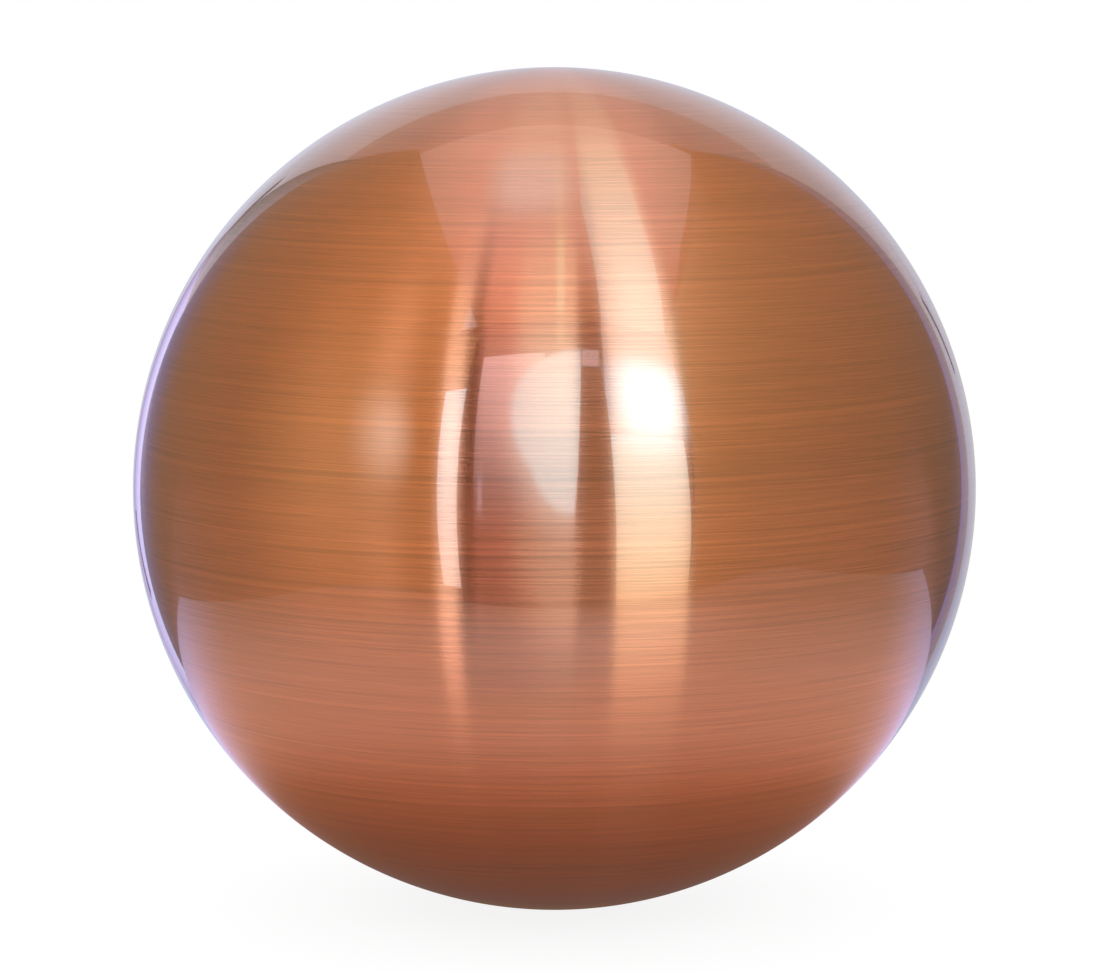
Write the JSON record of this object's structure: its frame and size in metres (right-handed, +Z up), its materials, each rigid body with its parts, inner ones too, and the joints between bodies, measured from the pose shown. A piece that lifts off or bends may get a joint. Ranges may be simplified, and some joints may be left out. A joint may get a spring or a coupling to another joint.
{
  "type": "steel ball",
  "caption": "Sealed hollow steel ball with a finely brushed, clear-coated copper-coloured skin, an ornament that sits on a ring stand or in a hollow.",
  "frame": {"origin": "centre of the ball", "axes": "+Z up along the axis that the brushing runs round, X to the right and the picture's camera on the -Y side"},
  "size_m": [0.254, 0.2538, 0.254],
  "materials": {
    "copper_brushed_steel": "fine brushing round the vertical axis under a glossy copper-tinted clear coat, mirror-like along the lines"
  },
  "bodies": {
    "root": {"ball": "copper_brushed_steel"}
  },
  "joints": []
}
